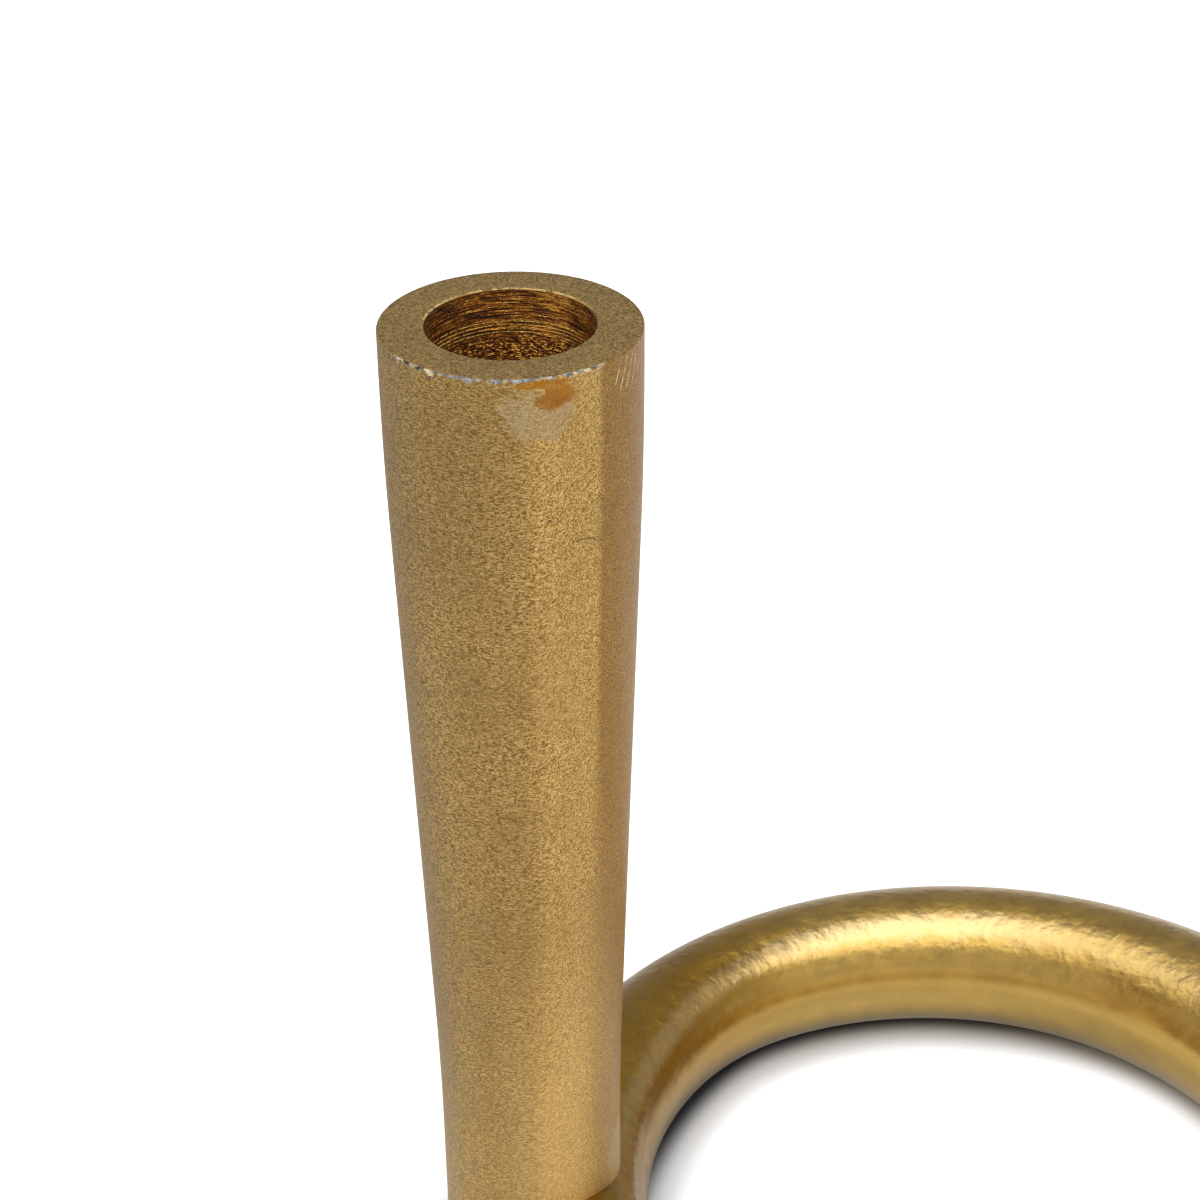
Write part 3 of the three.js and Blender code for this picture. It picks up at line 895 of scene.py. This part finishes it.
    ripples = nodes.noise(place, 1.7 * MM, 1.0, 0.5, 0.2)
    normal = nodes.bump(nodes.times(dents, dented), 0.20 * MM)
    normal = nodes.bump(nodes.times(ripples, dented), 0.13 * MM, normal)
    normal = nodes.bump(nodes.times(nodes.blend(0.6, strokes, grain), dented), 0.05 * MM, normal)
    roughness = nodes.blend(nodes.smooth(clouds, 0.3, 0.7), 0.30, 0.38)
    return nodes.finish(
        base_color=tone, metallic=1.0, roughness=roughness, normal=normal, coat_normal=normal,
        coat_weight=0.4, coat_roughness=0.24,
    )


def zinc_steel(finishes):
    """Bright zinc plating with a faint mottle."""
    nodes = Nodes("zinc_steel")
    place = nodes.add("ShaderNodeTexCoord").outputs["Object"]
    mottle = nodes.noise(place, 0.6 * MM, 4.0)
    dull = [0.75 * part for part in finishes.steel]
    tone = nodes.mix(mottle, finishes.steel, dull)
    return nodes.finish(base_color=tone, metallic=1.0, roughness=0.32, normal=nodes.bump(mottle, 0.01 * MM))


def pressed_felt(finishes):
    """Matted fibres."""
    nodes = Nodes("pressed_felt")
    place = nodes.add("ShaderNodeTexCoord").outputs["Object"]
    fibres = nodes.noise(place, 0.25 * MM, 5.0, 0.7)
    pale = [2.5 * part for part in finishes.felt]
    tone = nodes.mix(nodes.smooth(fibres, 0.4, 0.7), finishes.felt, pale)
    return nodes.finish(
        base_color=tone, roughness=0.95, normal=nodes.bump(fibres, 0.12 * MM), sheen_weight=0.3
    )


def pale_floor(stage, ring, foot_radius):
    """Matt floor that the eye sees as white, that mirrors as a painted pool of light and keeps its lit shadow
    plus a painted contact shadow.
    """
    nodes = Nodes("pale_floor")
    rays = nodes.add("ShaderNodeLightPath").outputs
    centre = ring_centre(ring)
    place, _, reach, _ = round_places(nodes, centre)
    x, y, _ = nodes.add("ShaderNodeSeparateXYZ", {0: place}).outputs
    # Painted shadow: the floor darkens towards the ring's contact line and round the foot, further out to the
    # west.
    away = nodes.apart(reach, ring.radius)
    west = nodes.times(
        nodes.smooth(x, centre.x - 0.46 * ring.radius, centre.x - 0.81 * ring.radius),
        nodes.smooth(reach, ring.radius + 0.3 * ring.thin, ring.radius - 0.3 * ring.thin),
    )
    east = nodes.smooth(x, centre.x + 0.08 * ring.radius, centre.x + 0.67 * ring.radius)
    shift = nodes.math("SUBTRACT", nodes.times(west, 0.32 * ring.thin), nodes.times(east, 0.24 * ring.thin))
    away = nodes.math("SUBTRACT", away, shift)
    _, _, foot_reach, _ = round_places(nodes, upright_axis())
    foot_away = nodes.math("SUBTRACT", foot_reach, foot_radius - 0.45 * ring.thin)
    away = nodes.math("MINIMUM", away, foot_away)
    shade = nodes.mix(nodes.smooth(away, 0.30 * ring.thin, 0.80 * ring.thin), stage.contact, stage.floor)
    matt = nodes.add("ShaderNodeBsdfDiffuse", {"Color": shade})
    # The camera's extra white light is held back near the ring and the foot, so the lit and painted shadow
    # stays.
    lift = nodes.smooth(away, 0.70 * ring.thin, 1.30 * ring.thin)
    far_off = nodes.smooth(reach, 1.5 * ring.radius, 5 * ring.radius)
    whiter = nodes.blend(nodes.math("MAXIMUM", east, far_off), 0.38, 0.6)
    lift = nodes.times(lift, whiter, rays["Is Camera Ray"])
    light = nodes.add("ShaderNodeEmission", {"Color": WHITE, "Strength": lift})
    seen = nodes.add("ShaderNodeAddShader", {0: matt.outputs[0], 1: light.outputs[0]})
    # Painted pool of light seen only in reflections: the floor glows with uneven strength and darkens near
    # the ring.
    sideways = nodes.blend(nodes.smooth(x, -0.25, 0.16), 0.70, 1.75)
    beside = nodes.smooth(x, centre.x - 0.3 * ring.radius, centre.x - 0.85 * ring.radius)
    inside = nodes.blend(beside, 1.06, 0.5)
    corner = nodes.times(
        nodes.smooth(x, centre.x, centre.x + 0.4 * ring.radius),
        nodes.smooth(y, 0.1 * ring.radius, 0.5 * ring.radius),
    )
    inside = nodes.times(inside, nodes.blend(corner, 1.0, 0.72))
    backward = nodes.blend(nodes.smooth(y, -0.02, 0.0), 1.0, 0.62)
    forward = nodes.blend(nodes.smooth(y, -0.14, -0.27), 1.0, 0.85)
    outside = nodes.times(sideways, backward, forward)
    pool = nodes.blend(nodes.smooth(reach, 1.5 * ring.radius, 0.8 * ring.radius), outside, inside)
    clear = nodes.smooth(away, 0.4 * ring.thin, 1.8 * ring.thin)
    pool = nodes.times(pool, nodes.blend(clear, 0.25, 1.0))
    mirrored = nodes.add("ShaderNodeEmission", {"Color": WHITE, "Strength": pool})
    surface = nodes.add(
        "ShaderNodeMixShader", {0: rays["Is Glossy Ray"], 1: seen.outputs[0], 2: mirrored.outputs[0]}
    )
    nodes.add("ShaderNodeOutputMaterial", {"Surface": surface.outputs[0]})
    return nodes.material


class CANDLEHOLDER_OT_stage(Operator):
    """Lay the pale floor, hang the soft light and place the camera"""

    bl_idname = "candleholder.stage"
    bl_label = "Stage"

    def floor(self, stage, ring, foot_radius):
        """A wide floor at the level of the table."""
        deselect_all()
        bpy.ops.mesh.primitive_plane_add(size=FLOOR_SIZE, location=(0, 0, 0))
        floor = bpy.context.object
        floor.name = "floor"
        floor.data.materials.append(pale_floor(stage, ring, foot_radius))

    def softbox(self, name, place, aim, width, depth, radiance):
        """A rectangular light that faces a point, as bright as that across its face."""
        bpy.ops.object.light_add(type="AREA", location=place)
        light = bpy.context.object
        light.name = name
        light.data.shape = "RECTANGLE"
        light.data.size = width
        light.data.size_y = depth
        light.data.energy = radiance * pi * width * depth
        light.rotation_euler = (Vector(aim) - Vector(place)).to_track_quat("-Z", "Y").to_euler()

    def room(self, scene, stage):
        """A plain grey room, paler on the camera's side, that reads as white to the eye."""
        world = bpy.data.worlds.new("room")
        world.use_nodes = True
        tree = world.node_tree
        place = tree.nodes.new("ShaderNodeTexCoord")
        parts = tree.nodes.new("ShaderNodeSeparateXYZ")
        shade = tree.nodes.new("ShaderNodeMapRange")
        shade.inputs["From Min"].default_value = ROOM_FADE
        shade.inputs["From Max"].default_value = -ROOM_FADE
        shade.inputs["To Min"].default_value = stage.room_back
        shade.inputs["To Max"].default_value = stage.room_front
        tree.links.new(place.outputs["Generated"], parts.inputs[0])
        tree.links.new(parts.outputs["Y"], shade.inputs["Value"])
        rays = tree.nodes.new("ShaderNodeLightPath")
        seen = tree.nodes.new("ShaderNodeMath")
        seen.operation = "MAXIMUM"
        tree.links.new(rays.outputs["Is Camera Ray"], seen.inputs[0])
        tree.links.new(shade.outputs[0], seen.inputs[1])
        tree.links.new(seen.outputs[0], tree.nodes["Background"].inputs["Strength"])
        tree.nodes["Background"].inputs["Color"].default_value = WHITE
        scene.world = world

    def camera(self, scene, stage):
        """The camera at the photograph's place, pitched down and slightly rolled."""
        axis = upright_axis()
        rim = Vector((axis.x, axis.y, UPRIGHT_HIGH.z))
        bpy.ops.object.camera_add()
        camera = bpy.context.object
        camera.name = "camera"
        camera.data.lens = stage.lens
        camera.data.sensor_width = SENSOR_WIDTH
        camera.data.clip_start = CLIP_START
        turn = Matrix.Rotation(pi / 2 - stage.pitch, 4, "X") @ Matrix.Rotation(stage.roll, 4, "Z")
        camera.matrix_world = Matrix.Translation(rim + Vector(stage.eye)) @ turn
        scene.camera = camera

    def execute(self, context):
        scene, stage = context.scene, context.scene.candle_stage
        self.floor(stage, scene.candle_ring, scene.candle_upright.foot_radius)
        for name, place, width, depth, radiance in SOFTBOXES:
            self.softbox(name, place, (place[0], place[1], 0), width, depth, radiance)
        self.room(scene, stage)
        self.camera(scene, stage)
        scene.view_settings.view_transform = "Standard"
        return {"FINISHED"}


STEPS = (
    CANDLEHOLDER_OT_upright,
    CANDLEHOLDER_OT_ring,
    CANDLEHOLDER_OT_fixings,
    CANDLEHOLDER_OT_pads,
    CANDLEHOLDER_OT_stage,
)


class CANDLEHOLDER_PT_panel(Panel):
    """Lists the steps that make the candle holder"""

    bl_idname = "CANDLEHOLDER_PT_panel"
    bl_label = "Candle Holder"
    bl_space_type = "VIEW_3D"
    bl_region_type = "UI"
    bl_category = "Candle Holder"

    def draw(self, context):
        for step in STEPS:
            self.layout.operator(step.bl_idname)


GROUPS = {
    "candle_upright": UprightSizes,
    "candle_ring": RingSizes,
    "candle_finishes": Finishes,
    "candle_stage": StageSizes,
}


def register():
    for name, group in GROUPS.items():
        bpy.utils.register_class(group)
        setattr(bpy.types.Scene, name, PointerProperty(type=group))
    for step in STEPS:
        bpy.utils.register_class(step)
    bpy.utils.register_class(CANDLEHOLDER_PT_panel)


def unregister():
    bpy.utils.unregister_class(CANDLEHOLDER_PT_panel)
    for step in reversed(STEPS):
        bpy.utils.unregister_class(step)
    for name, group in reversed(GROUPS.items()):
        delattr(bpy.types.Scene, name)
        bpy.utils.unregister_class(group)


def main():
    register()
    bpy.ops.candleholder.upright()
    bpy.ops.candleholder.ring()
    bpy.ops.candleholder.fixings()
    bpy.ops.candleholder.pads()
    bpy.ops.candleholder.stage()


if __name__ == "__main__":
    main()
